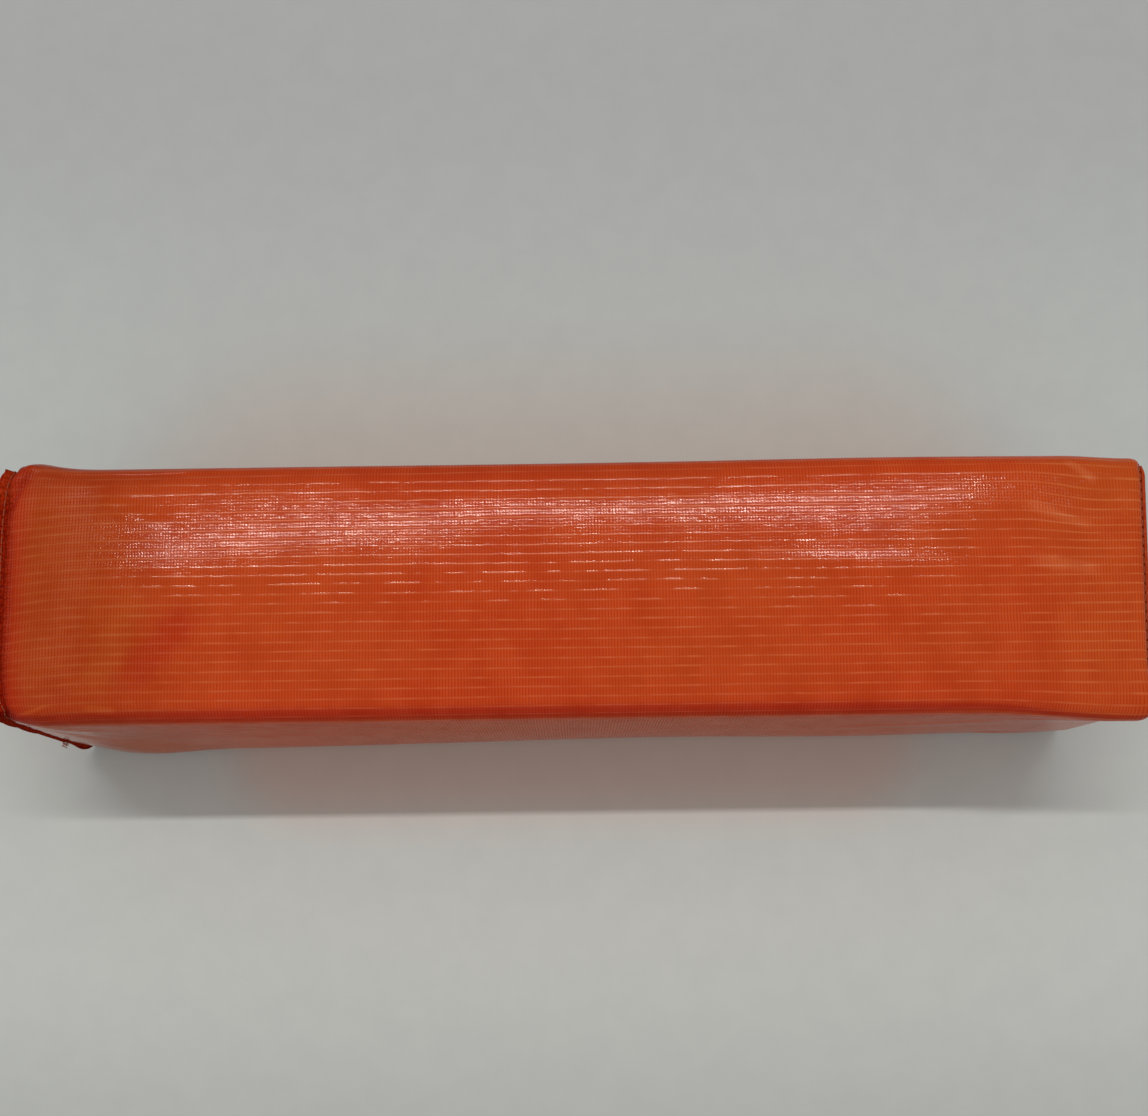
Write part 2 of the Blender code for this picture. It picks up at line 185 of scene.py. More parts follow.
def sampled(points, spacing):
    """A line sampled at a spacing that depends on x, with its outward normals."""
    lengths = np.concatenate([[0], np.cumsum(np.linalg.norm(np.diff(points, axis=0), axis=1))])
    dense = np.linspace(0, lengths[-1], LINE_STEPS)
    weight = 1 / spacing(np.interp(dense, lengths, points[:, 0]))
    count = np.concatenate([[0], np.cumsum((weight[1:] + weight[:-1]) / 2 * np.diff(dense))])
    along = np.interp(np.linspace(0, count[-1], max(3, int(count[-1]) + 1)), count, dense)
    reach = 0.05 * MM
    x, depth = (np.interp(along, lengths, points[:, k]) for k in (0, 1))
    ahead = np.array([np.interp(along + reach, lengths, points[:, k]) for k in (0, 1)])
    behind = np.array([np.interp(along - reach, lengths, points[:, k]) for k in (0, 1)])
    tangent = (ahead - behind) / np.linalg.norm(ahead - behind, axis=0)
    return Line(x, depth, along, tangent[1], tangent[0])


def surface(line, ring, rise):
    """Points of a sheet with a given outline, lifted by rise along its outward normals."""
    depth = line.depth[:, None]
    radius = np.maximum(EDGE_RADIUS - depth, LEAST_RADIUS)
    flat = HALF - depth - radius
    out = radius + rise * line.normal_out[:, None]
    y = ring.centre[:, 0] * flat + ring.normal[:, 0] * out
    z = ring.centre[:, 1] * flat + ring.normal[:, 1] * out
    x = line.x[:, None] + rise * line.normal_x[:, None]
    return np.stack(np.broadcast_arrays(x, y, z + HALF), axis=-1)


# How the soft pylon departs from its plain form

BASE_BULGE = 5.5 * MM
TOP_BULGE = 2.6 * MM
RIM_STIFFNESS = 0.32
BELLY_HEIGHT_SHARES = (0, 0.22, 0.6, 0.95)
BELLY_SHARES = (0.75, 1.0, 0.5, 0.0)
SEAM_BOW = 5.0 * MM
BOW_REACH = 30 * MM
SEAM_SWELL = 1.0 * MM
TOP_SKEW = 1.6 * MM
TOP_TILT = 0.9 * MM
NEAR_CORNER_POINT = 4.0 * MM
FAR_TIP_OUT = 1.8 * MM
NEAR_TIP_OUT = 2.8 * MM
NEAR_SHIFT = 1.1 * MM
FAR_SHIFT = 0.6 * MM
FAR_CORNER_OUT = 3.1 * MM
FAR_CORNER_START = 4 * MM
FAR_CORNER_REACH = 16 * MM
FAR_END_IN = 1.2 * MM
FAR_BULGE = 0.8 * MM
NEAR_LOW_OUT = 2.0 * MM
NEAR_RIM_IN = 1.5 * MM
NEAR_FOOT_OUT = 1.0 * MM
FLOOR_GIVE = 0.3 * MM
# Places along the pylon between which a form fades in
BELLY_ALONG = (BASE_X + 300 * MM, BASE_X + 50 * MM)
STIFF_ALONG = (BASE_X + 26 * MM, BASE_X + 2 * MM)
TOP_ALONG = (TOP_X - 75 * MM, TOP_X)
TIPS_ALONG = (TOP_X - 10 * MM, TOP_X - 2 * MM)
FAR_END_ALONG = (TOP_X - 32 * MM, TOP_X - 6 * MM)
NEAR_RIM_ALONG = (BASE_X + 20 * MM, BASE_X - 2 * MM)
# Humps along the pylon: place and reach
FAR_BULGE_HUMP = (130 * MM, 75 * MM)
NEAR_LOW_HUMP = (BASE_X + 36 * MM, 21 * MM)
NEAR_FOOT_HUMP = (120 * MM, 55 * MM)
# Parts of the section: shares of HALF between which each fades in, across and then up
NEAR_EDGE = ((-0.6, -1.0), (1.2, 2.0))
FAR_EDGE = ((0.55, 0.95), (0.8, 1.6))
FAR_TIP = ((0.9, 0.98), (1.4, 1.95))
LOWER_NEAR = ((-0.3, -0.9), (1.3, 0.5))
UPPER_NEAR = ((-0.4, -0.9), (0.6, 1.9))
NEAR_HALF = (0.3 * HALF, -0.9 * HALF)


def zone(y, z, shares):
    """How far each place lies in one part of the section."""
    across, up = np.array(shares) * HALF
    return blend(*across, y) * blend(*up, z)


def settle(points):
    """Moves points as the whole soft pylon is deformed where it lies."""
    x, y, z = np.moveaxis(np.array(points, float), -1, 0)
    belly = np.interp(z / (2 * HALF), BELLY_HEIGHT_SHARES, BELLY_SHARES)
    widen = (TOP_BULGE + (BASE_BULGE - TOP_BULGE) * blend(*BELLY_ALONG, x)) * belly
    widen = widen * (1 - RIM_STIFFNESS * blend(*STIFF_ALONG, x))
    to_top = blend(*TOP_ALONG, x)
    near_edge = zone(y, z, NEAR_EDGE)

    corner = np.clip(np.minimum(np.abs(y), np.abs(z - HALF)) / HALF, 0, 1) ** 6
    pull = np.clip(1 - (x - VALLEY_X) / BOW_REACH, 0, 1) ** 2
    x_new = x + (SEAM_BOW * corner - SEAM_SWELL * (1 - corner)) * pull + TOP_SKEW * y / HALF * to_top
    tips = FAR_TIP_OUT * zone(y, z, FAR_TIP) + NEAR_TIP_OUT * near_edge
    x_new = x_new + tips * blend(*TIPS_ALONG, x)

    from_corner = np.maximum(x - VALLEY_X - FAR_CORNER_START, 0)
    far_out = FAR_SHIFT + FAR_CORNER_OUT * hump(from_corner, 0, FAR_CORNER_REACH)
    far_out = far_out + FAR_BULGE * hump(x, *FAR_BULGE_HUMP) - FAR_END_IN * blend(*FAR_END_ALONG, x)
    near_out = NEAR_LOW_OUT * hump(x, *NEAR_LOW_HUMP) + NEAR_FOOT_OUT * hump(x, *NEAR_FOOT_HUMP)
    y_new = y + y / HALF * widen + far_out * zone(y, z, FAR_EDGE)
    y_new = y_new - NEAR_CORNER_POINT * to_top * near_edge - NEAR_SHIFT * blend(*NEAR_HALF, y)
    y_new = y_new - near_out * zone(y, z, LOWER_NEAR)
    y_new = y_new + NEAR_RIM_IN * zone(y, z, UPPER_NEAR) * blend(*NEAR_RIM_ALONG, x)

    z_new = z - TOP_TILT * y / HALF * blend(HALF, 2 * HALF, z)
    z_new = np.where(z_new < FLOOR_GIVE, FLOOR_GIVE * np.exp(z_new / FLOOR_GIVE - 1), z_new)
    return np.stack([x_new, y_new, z_new], axis=-1)


# Creases, as cloth places (mm from the base face, mm round from an edge), width and height in mm
BASE_CREASES = (
    (FAR_TOP, (-2, 18), (11, 0), 1.5, -1.0),
    (FAR_TOP, (-3, 11), (8, -3), 2.4, 1.0),
    (FAR_TOP, (4, 20), (30, 5), 2.2, 0.25),
    (FAR_TOP, (36, 13), (66, 24), 3.5, 0.22),
    (FAR_TOP, (3, -3), (22, -12), 2.0, 0.4),
    (NEAR_TOP, (1, 2), (26, -5), 1.3, 0.4),
    (NEAR_TOP, (26, -2), (52, -1), 1.4, 0.3),
    (NEAR_TOP, (4, -8), (34, -14), 2.2, -0.3),
    (NEAR_TOP, (3, 4), (40, 22), 3.5, 0.5),
    (NEAR_TOP, (4, 12), (30, 40), 4.0, -0.4),
    (NEAR_LOW, (3, -3), (26, -20), 3.0, 0.5),
    (NEAR_LOW, (3, 4), (24, 16), 2.0, 0.4),
)
# The same at the top end, with mm from the end of the wrap
TOP_CREASES = (
    (FAR_TOP, (-5, 5), (-36, 15), 3.0, -0.25),
    (FAR_TOP, (-12, 29), (-46, 22), 5.0, 0.2),
    (FAR_TOP, (-4, 12), (-30, 17), 3.0, 0.3),
    (FAR_TOP, (-10, 62), (-40, 60), 4.0, 0.2),
    (NEAR_TOP, (-4, 3), (-60, 22), 3.0, 0.5),
    (NEAR_TOP, (-20, 20), (-120, 44), 5.0, 0.4),
    (NEAR_LOW, (-5, -4), (-50, -24), 4.0, 0.6),
)
SEAM_DIP = 0.9 * MM
SEAM_DIP_START = 3 * MM
SEAM_DIP_REACH = 14 * MM
END_ROLL = 1.4 * MM
END_ROLL_REACH = 38 * MM
PUCKER = 0.22 * MM
PUCKER_SIZE = 3.4 * MM
PUCKER_REACH = 7 * MM
GROOVE_DEPTH = 1.1 * MM
GROOVE_WIDTH = 0.8 * MM
FAR_SHOULDER = 0.13 * MM
# Distances from the ends of the sheet between which a form fades in
BODY_START = (0, 12 * MM)
SEAM_START = (-1 * MM, 3 * MM)
PUCKER_START = (-3 * MM, 1 * MM)
GROOVE_START = (8 * MM, 16 * MM)
# Waves of the cloth: height, size along and its shift, size round, and random seed
WAVES = (
    (0.05 * MM, 110 * MM, 7, 12 * MM, 3),
    (0.06 * MM, 45 * MM, 3, 30 * MM, 5),
)
# How far the far half of the top face sags at places along it
SAG_PLACES = (BASE_X, -168 * MM, -140 * MM, -103 * MM, -65 * MM, -28 * MM, 140 * MM, 170 * MM, WRAP_END_X)
SAGS = (1.4 * MM, 1.4 * MM, 0.75 * MM, 0.5 * MM, 0.4 * MM, 0.0, 0.0, -0.35 * MM, -0.5 * MM)
SAG_ROWS = (FAR_TOP + 52 * MM, FAR_TOP)
# A low step in the top face, at places along it: how far it drops, and how far from the far edge
STEP_PLACES = (66 * MM, 98 * MM, 150 * MM, 178 * MM)
STEP_HEIGHTS = (0.0, 0.20 * MM, 0.22 * MM, 0.05 * MM)
STEP_ROWS = (38 * MM, 38 * MM, 40.5 * MM, 43 * MM)
STEP_SLOPE = 4 * MM
STEP_FAR_ROWS = (FAR_TOP - 7 * MM, FAR_TOP + 3 * MM)
SHOULDER_ROWS = (FAR_TOP + 15 * MM, FAR_TOP + 7 * MM)
SHOULDER_ALONG = (-110 * MM, -40 * MM)


def crease(x, around, start, end, width, height):
    """A soft ridge between two places on the cloth, tapered at both ends."""
    run = np.array(end) - np.array(start)
    length = np.linalg.norm(run)
    run /= length
    t = ((x - start[0]) * run[0] + (around - start[1]) * run[1]) / length
    off = ((around - start[1]) * run[0] - (x - start[0]) * run[1]) / width
    return height * np.clip(4 * t * (1 - t), 0, 1) * np.exp(-off * off)


def creases(x, around):
    """Lift of all the creases at both ends."""
    rise = 0
    for origin, table in ((BASE_X, BASE_CREASES), (WRAP_END_X, TOP_CREASES)):
        for edge, start, end, width, height in table:
            first = (origin + start[0] * MM, edge + start[1] * MM)
            last = (origin + end[0] * MM, edge + end[1] * MM)
            rise = rise + crease(x, around, first, last, width * MM, height * MM)
    return rise


def top_face_sink(x, around, body, arch):
    """How far the top face lies below its plain form."""
    from_base = x - BASE_X
    before_near = around < NEAR_TOP
    on_top = (around > FAR_TOP) & before_near
    sag = np.interp(x, SAG_PLACES, SAGS) * blend(*SAG_ROWS, around) * body
    shoulder = FAR_SHOULDER * blend(*SHOULDER_ROWS, around) * blend(*SHOULDER_ALONG, x)
    roll = np.clip(1 - from_base / END_ROLL_REACH, 0, 1) ** 2
    roll = END_ROLL * roll * blend(*SEAM_START, from_base) * arch
    row = FAR_TOP + np.interp(x, STEP_PLACES, STEP_ROWS)
    step = np.interp(x, STEP_PLACES, STEP_HEIGHTS) * blend(row + STEP_SLOPE, row - STEP_SLOPE, around)
    step = step * blend(*STEP_FAR_ROWS, around)
    return (sag + shoulder + roll) * on_top + step * before_near


def seam_marks(x, around):
    """Lift by the seams: puckers and a dip beside the base rim, and the groove of the long seam."""
    from_base = x - BASE_X
    pucker = soft_noise(around / PUCKER_SIZE, 0.5 + 0 * x, 11) * np.exp(-np.abs(from_base) / PUCKER_REACH)
    pucker = PUCKER * pucker * blend(*PUCKER_START, from_base)
    dip = np.clip(1 - (from_base - SEAM_DIP_START) / SEAM_DIP_REACH, 0, 1) ** 2
    dip = SEAM_DIP * dip * blend(*SEAM_START, from_base)
    groove = hump(np.minimum(around, PERIMETER - around), 0, GROOVE_WIDTH)
    groove = groove * blend(*GROOVE_START, from_base) * blend(*GROOVE_START, WRAP_END_X - x)
    return pucker - dip - GROOVE_DEPTH * groove


def relief(x, around):
    """Outward lift of the cover above its plain form, over the cloth."""
    from_base = x - BASE_X
    body = blend(*BODY_START, from_base) * blend(*BODY_START, WRAP_END_X - x)
    along = np.clip(from_base / (WRAP_END_X - BASE_X), 0, 1)
    side = np.floor(around / SIDE_PITCH)
    share = np.clip((around - side * SIDE_PITCH - QUARTER / 2) / FLAT, 0, 1)
    arch = 4 * share * (1 - share)
    rise = np.where(side < 3, SIDE_CROWN, 0) * (1 - (2 * along - 1) ** 4) * arch
    for height, length, shift, width, seed in WAVES:
        rise = rise + body * height * soft_noise(x / length + shift, around / width, seed)
    rise = rise - top_face_sink(x, around, body, arch)
    return rise + seam_marks(x, around) + creases(x, around)


# Waves of the rim: height, size and random seed
RIM_WAVES = ((0.35 * MM, 17 * MM, 21), (0.2 * MM, 5 * MM, 22))
# Ears of the rim: corner, height and reach
EARS = (
    (FAR_TOP, 0.5 * MM, 9 * MM),
    (NEAR_TOP, 0.2 * MM, 5 * MM),
    (NEAR_LOW, 4.6 * MM, 13 * MM),
    (0, 1.5 * MM, 6 * MM),
)
NEAR_RIM_STAND = 0.7 * MM
NEAR_RIM_START = (NEAR_TOP - 6 * MM, NEAR_TOP + 10 * MM)
NEAR_RIM_END = (NEAR_LOW + 8 * MM, NEAR_LOW - 4 * MM)
# Rows of the noise that wave the wrap's rim and the base panel's rim
WRAP_ROW = 0.0
PANEL_ROW = 0.15


def rim_wave(x, around, row):
    """Lift of the rim of raw edges: waves along its sides and a raised ear at each corner."""
    wave = NEAR_RIM_STAND * blend(*NEAR_RIM_START, around) * blend(*NEAR_RIM_END, around)
    for height, size, seed in RIM_WAVES:
        wave = wave + height * soft_noise(around / size, row + 0 * x, seed)
    for corner, height, reach in EARS:
        away = np.abs(around - corner)
        wave = wave + height * hump(np.minimum(away, PERIMETER - away), 0, reach)
    return wave * np.clip((VALLEY_X - x) / (VALLEY_X - RIM_X), 0, 1)


# Meshes

SHARP_ANGLE = math.radians(50)


def show(name, data, *materials):
    """Makes the named object of a mesh, shaded smooth."""
    data.update()
    data.shade_smooth()
    data.set_sharp_from_angle(angle=SHARP_ANGLE)
    for material in materials:
        data.materials.append(material)
    piece = bpy.data.objects.new(name, data)
    bpy.context.scene.collection.objects.link(piece)
    return piece


# Half the width of the small square that closes the middle of each end panel
CAP_HALF = 3 * MM
PANEL_CHART_START = 12 * MM
PANEL_CHART_SCALE = 0.9
BASE_DRIFT = 3.0 * MM
BASE_DRIFT_REACH = 45 * MM
TOP_DRIFT = 4.0 * MM
TOP_DRIFT_ALONG = (TOP_X - 52 * MM, TOP_X - 20 * MM)
TOP_DRIFT_HUMP = (FAR_TOP + 20 * MM, 14 * MM)


def drifted(u, x, around):
    """Cloth places of the yarns: they bend near both ends, where the sheet is drawn into its seams."""
    base_bend = BASE_DRIFT * np.clip(1 - (x - VALLEY_X) / BASE_DRIFT_REACH, 0, 1) ** 2
    top_bend = TOP_DRIFT * blend(*TOP_DRIFT_ALONG, x) * hump(around, *TOP_DRIFT_HUMP)
    return np.stack(np.broadcast_arrays(u, around - base_bend - top_bend), axis=-1)


def wrapped_chart(line, ring):
    """Cloth places of the wrap, along it and round it, with the first one repeated at the last seam."""
    around = np.append(ring.around, PERIMETER + ring.around[0])[None, :]
    return drifted(line.along[:, None], line.x[:, None], around)


def flat_chart(line, ring):
    """Cloth places of an end panel, as if its square were laid out flat, clear of the wrap's marks."""
    depth = HALF - CAP_HALF - (line.along[-1] - line.along)
    plain = surface(Line(0 * depth, depth, line.along, 0 * depth, 1 + 0 * depth), ring, 0)
    plain = np.concatenate([plain, plain[:, :1]], axis=1)
    down = PANEL_CHART_START + PANEL_CHART_SCALE * (2 * HALF - plain[..., 2])
    across = (NEAR_LOW + PERIMETER) / 2 - PANEL_CHART_SCALE * plain[..., 1]
    return np.stack([down, across], axis=-1)


def cells(grid):
    """The first, second, third and fourth corner of each cell of a grid."""
    return grid[:-1, :-1], grid[:-1, 1:], grid[1:, 1:], grid[1:, :-1]


def two_faced(name, line, ring, rise, chart, fabric, raw_edge, capped=False):
    """A sheet of cloth: its outer face, its raw ends and its inner face. A capped one has no opening."""
    outer = surface(line, ring, rise)
    inner = surface(line, ring, rise - SHEET)
    rows = settle(np.concatenate([outer, inner[::-1]]))
    chart = np.concatenate([chart, chart[::-1], chart[:1]])
    count, columns = rows.shape[:2]
    index = np.arange(count * columns).reshape(count, columns)
    index = np.concatenate([index, index[:, :1]], axis=1)
    index = np.concatenate([index, index[:1]])
    quads = np.stack(cells(index), axis=-1)
    charts = np.stack(cells(chart), axis=-2)
    points = rows.reshape(-1, 3).tolist()
    fans, fan_places = [], []
    if capped:
        middle = len(line.along) - 1
        quads = np.delete(quads, middle, axis=0)
        charts = np.delete(charts, middle, axis=0)
        for row, order in ((middle, 1), (middle + 1, -1)):
            corners, places = index[row, ::order].tolist(), chart[row, ::order]
            centre = np.tile(places[:-1].mean(axis=0), (columns, 1))
            fans.extend([first, second, len(points)] for first, second in zip(corners, corners[1:]))
            fan_places.append(np.stack([places[:-1], places[1:], centre], axis=1).reshape(-1))
            points.append(rows[row].mean(axis=0).tolist())
    faces = quads.reshape(-1, 4).tolist()
    data = bpy.data.meshes.new(name)
    data.from_pydata(points, [], faces + fans)
    places = np.concatenate([charts.reshape(-1), *fan_places])
    data.uv_layers.new(name="cloth").data.foreach_set("uv", places.astype(np.float32))
    piece = show(name, data, fabric, raw_edge)
    slots = np.zeros(len(data.polygons), np.int32)
    slots[len(faces) - columns : len(faces)] = 1
    data.polygons.foreach_set("material_index", slots)
    return piece


END_TUCK = 4 * MM
RIM_DEPTH = VALLEY_DEPTH - (VALLEY_X - RIM_X) * math.tan(RIM_FLARE)
FINE_REACH = (8 * MM, 50 * MM)


def cover_outline():
    """The wrap's outline, from its raw edge in the rim to its turned top seam."""
    corners = [
        (RIM_X, RIM_DEPTH),
        (VALLEY_X, VALLEY_DEPTH),
        (SHOULDER_X, 0.0),
        (WRAP_END_X, 0.0),
        (WRAP_END_X, ROLL_RADIUS + END_TUCK),
    ]

    def spacing(x):
        from_end = np.minimum(x - RIM_X, WRAP_END_X - x)
        return FINE + (COARSE - FINE) * blend(*FINE_REACH, from_end)

    return sampled(rounded(corners, (VALLEY_RADIUS, SHOULDER_RADIUS, ROLL_RADIUS)), spacing)


def cover_rise(line, ring):
    """Lift of the whole wrap above its plain form."""
    x = line.x[:, None]
    around = ring.around[None, :]
    return relief(x, around) + rim_wave(x, around, WRAP_ROW)


BASE_PANEL_HOLLOW = 2.2 * MM
BASE_PANEL_BEND = 1.7 * MM
BASE_PANEL_SPACING = 1.6 * MM
BASE_PANEL_FINE_X = BASE_X - 1.2 * MM
TOP_PANEL_SWELL = 1.2 * MM
TOP_PANEL_SPACING = 0.9 * MM
TOP_PANEL_NOSE = 0.48 * (TOP_X - FOLD_X)
OUTER_FACE_X = TOP_X - 0.3 * MM


def make_base_panel(ring, fabric, raw_edge):
    """The square that closes the base, its edges turned out along the inside of the rim."""
    edge = RIM_DEPTH + LAYER / math.cos(RIM_FLARE)
    bend = edge + (BASE_X - RIM_X) * math.tan(RIM_FLARE)
    corners = [(RIM_X, edge), (BASE_X - GAP, bend), (BASE_X - GAP, HALF - CAP_HALF)]

    def spacing(x):
        return np.where(x < BASE_PANEL_FINE_X, FINE, BASE_PANEL_SPACING)

    line = sampled(rounded(corners, (BASE_PANEL_BEND,)), spacing)
    rise = rim_wave(line.x[:, None], ring.around[None, :], PANEL_ROW)
    rise = rise - BASE_PANEL_HOLLOW * blend(VALLEY_DEPTH, HALF * 0.8, line.depth[:, None])
    chart = flat_chart(line, ring)
    return two_faced("base_panel", line, ring, rise, chart, fabric, raw_edge, capped=True)


def make_top_panel(ring, fabric, raw_edge):
    """The square that closes the top, its edges folded under and caught in the turned seam."""
    turned = [(FOLD_X, FOLD_DEPTH + ALLOWANCE), (FOLD_X, FOLD_DEPTH)]
    corners = [*turned, (TOP_X, FOLD_DEPTH), (TOP_X, HALF - CAP_HALF)]
    line = sampled(rounded(corners, (TOP_PANEL_NOSE, TOP_PANEL_NOSE)), lambda x: TOP_PANEL_SPACING + 0 * x)
    swell = TOP_PANEL_SWELL * blend(FOLD_DEPTH, HALF * 0.7, line.depth[:, None])
    swell = swell * (line.x[:, None] > OUTER_FACE_X) + 0 * ring.around[None, :]
    chart = flat_chart(line, ring)
    return two_faced("top_panel", line, ring, swell, chart, fabric, raw_edge, capped=True)


def tube(points, ups, radius, sides=6):
    """Vertices and faces of a round closed tube along a line of points."""
    tangents = np.gradient(points, axis=0)
    tangents /= np.linalg.norm(tangents, axis=1)[:, None]
    across = np.cross(tangents, ups)
    across /= np.linalg.norm(across, axis=1)[:, None]
    upright = np.cross(across, tangents)
    sideways, up = direction(np.arange(sides) * math.tau / sides)[:, None, :, None]
    rings = points[:, None] + radius * (across[:, None] * sideways + upright[:, None] * up)
    faces = []
    for row in range(len(points) - 1):
        for side in range(sides):
            after = (side + 1) % sides
            a, b = row * sides, (row + 1) * sides
            faces.append((a + side, b + side, b + after, a + after))
    faces.append(tuple(range(sides)))
    faces.append(tuple((len(points) - 1) * sides + side for side in reversed(range(sides))))
    return rings.reshape(-1, 3), faces


def join_tubes(name, tubes, material):
    """One object of several tubes."""
    points, faces, start = [], [], 0
    for vertices, quads in tubes:
        points.extend(vertices.tolist())
        faces.extend(tuple(start + corner for corner in quad) for quad in quads)
        start += len(vertices)
    data = bpy.data.meshes.new(name)
    data.from_pydata(points, [], faces)
    return show(name, data, material)


STITCH_PITCH = 3.8 * MM
STITCH_SHARE = 0.76
STITCH_STEPS = 7


def stitches(name, foot, crest, material, closed=True):
    """Separate stitches along a seam, each arched from its holes at the foot line to the crest line."""
    if closed:
        foot, crest = (np.concatenate([line, line[:1]]) for line in (foot, crest))
    lengths = np.concatenate([[0], np.cumsum(np.linalg.norm(np.diff(crest, axis=0), axis=1))])
    count = int(lengths[-1] / STITCH_PITCH)
    pitch = lengths[-1] / count
    t = np.linspace(0, 1, STITCH_STEPS)
    arch = np.sin(math.pi * t)[:, None] ** 0.5

    def along(line, at):
        return np.stack([np.interp(at, lengths, line[:, k]) for k in range(3)], axis=-1)

    made = []
    for number in range(count):
        at = (number + t * STITCH_SHARE) * pitch
        low, high = along(foot, at), along(crest, at)
        made.append(tube(low + (high - low) * arch, high - low, THREAD / 2))
    return join_tubes(name, made, material)


def seam_lines(line, ring, rise, along, foot, crest):
    """Two lines round a sheet at one place along its outline, at two heights above it."""
    at = int(np.abs(line.along - along).argmin())
    one = Line(*(values[at : at + 1] for values in line))
    return [settle(surface(one, ring, rise[at : at + 1] + lift))[0] for lift in (foot, crest)]


TAIL_DROP = 5 * MM
TAIL_OFFSET = (0.8 * MM, 0.3 * MM, 0)
TAIL_STRANDS = 5
TAIL_SPREAD = 0.9 * MM
TAIL_SWINGS = (1.4 * MM, -2.6 * MM, 1.0 * MM)


def loose_thread(rim, material):
    """The frayed end of the needle thread, curling off the near side of the rim."""
    near = rim[rim[:, 1] < 0]
    seat = near[np.abs(near[:, 2] - TAIL_Z + TAIL_DROP).argmin()] + np.array(TAIL_OFFSET)
    rng = np.random.default_rng(4)
    t = np.linspace(0, 1, 12)
    ups = np.tile([0.3, 0.2, 1.0], (len(t), 1))
    strands = []
    for strand in range(TAIL_STRANDS):
        spread = rng.uniform(-1, 1, 3) * TAIL_SPREAD
        bend = np.stack([np.sin(5 * t + strand), t, np.cos(4 * t + strand)], axis=-1) * TAIL_SWINGS
        points = seat + bend + spread * t[:, None] ** 1.5
        strands.append(tube(points, ups, THREAD * 0.3, 5))
    return join_tubes("loose_thread", strands, material)


FOAM_VOXEL = 3 * MM


def make_foam(name, node, inset, material):
    """A foam piece in the place of its CAD solid, a little smaller and settled with the cover."""
    source = bpy.data.objects.new(name + "_source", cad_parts[node].data.copy())
    bpy.context.scene.collection.objects.link(source)
    even = source.modifiers.new("even", "REMESH")
    even.mode = "VOXEL"
    even.voxel_size = FOAM_VOXEL
    bpy.context.view_layer.update()
    data = bpy.data.meshes.new_from_object(source.evaluated_get(bpy.context.evaluated_depsgraph_get()))
    bpy.data.objects.remove(source)
    points = np.zeros(len(data.vertices) * 3)
    data.vertices.foreach_get("co", points)
    points = points.reshape(-1, 3)
    centre = np.array([0, 0, HALF])
    points = centre + (points - centre) * (1 - inset / HALF)
    data.vertices.foreach_set("co", settle(points).reshape(-1))
    data.materials.clear()
    return show(name, data, material)


# Materials

class Graph:
    """A material's node tree, with a short way to add each kind of node that is used here."""

    def __init__(self, name):
        self.material = bpy.data.materials.new(name)
        self.material.use_nodes = True
        self.tree = self.material.node_tree
        self.shader = self.tree.nodes["Principled BSDF"]

    def feed(self, socket, value):
        if isinstance(value, bpy.types.NodeSocket):
            self.tree.links.new(value, socket)
        elif isinstance(value, tuple) and socket.type == "RGBA":
            socket.default_value = (*value, 1.0)
        else:
            socket.default_value = value

    def node(self, kind, settings=(), **inputs):
        made = self.tree.nodes.new(kind)
        for key, value in dict(settings).items():
            setattr(made, key, value)
        for key, value in inputs.items():
            self.feed(made.inputs[key.replace("_", " ")], value)
        return made

    def math(self, operation, *values):
        made = self.node("ShaderNodeMath", {"operation": operation})
        for socket, value in zip(made.inputs, values):
            self.feed(socket, value)
        return made.outputs[0]

    def scaled(self, vector, factors):
        made = self.node("ShaderNodeVectorMath", {"operation": "MULTIPLY"})
        self.feed(made.inputs[0], vector)
        self.feed(made.inputs[1], factors)
        return made.outputs[0]

    def noise(self, vector, scale, detail=2.0, roughness=0.5):
        settings = {"Vector": vector, "Scale": scale, "Detail": detail, "Roughness": roughness}
        return self.node("ShaderNodeTexNoise", **settings).outputs["Fac"]

    def cloth_noise(self, cloth, scales, detail=2.0, roughness=0.5):
        return self.noise(self.scaled(cloth.places, (*scales, 1.0)), 1.0, detail, roughness)

    def object_places(self):
        return self.node("ShaderNodeTexCoord").outputs["Object"]

    def ramp(self, value, low, high, to_low=0.0, to_high=1.0):
        made = self.node("ShaderNodeMapRange", {"interpolation_type": "SMOOTHSTEP"})
        for socket, given in zip(made.inputs, (value, low, high, to_low, to_high)):
            self.feed(socket, given)
        return made.outputs[0]

    def mix(self, factor, first, second):
        made = self.node("ShaderNodeMix", {"data_type": "RGBA"})
        for place, given in ((0, factor), (6, first), (7, second)):
            self.feed(made.inputs[place], given)
        return made.outputs[2]

    def tint(self, first, second):
        made = self.node("ShaderNodeMix", {"data_type": "RGBA", "blend_type": "MULTIPLY"})
        for place, given in ((0, 1.0), (6, first), (7, second)):
            self.feed(made.inputs[place], given)
        return made.outputs[2]

    def bump(self, height, distance):
        made = self.node("ShaderNodeBump", Height=height, Distance=distance)
        self.feed(self.shader.inputs["Normal"], made.outputs[0])

    def finish(self, colour, roughness, **numbers):
        self.feed(self.shader.inputs["Base Color"], colour)
        self.feed(self.shader.inputs["Roughness"], roughness)
        for key, value in numbers.items():
            self.feed(self.shader.inputs[key.replace("_", " ")], value)
        return self.material


WHITE = (1.0, 1.0, 1.0)

# Pitches of the fabric's yarns in mm, and its colours
LINE_PITCH = 3.75
RIB_PITCH = 1.22
FILM_COLOURS = ((0.375, 0.029, 0.006), (0.37, 0.039, 0.007))
RIB_COLOUR = (0.555, 0.067, 0.010)
LINE_COLOUR = (0.67, 0.14, 0.038)
# Heights of the lines, the ribs, the domes between them, the cockles and the grain, in mm
BUMP_HEIGHTS = (0.035, 0.006, 0.007, 0.03, 0.017)
SPECULAR_LEVEL = 0.08
SPECULAR_TINT = (1.0, 0.86, 0.74)
# Painted sheen: pale patches where the lamp's light catches the cloth near the top end
PAINTED_SHEEN = (1.10, 1.48, 2.3)
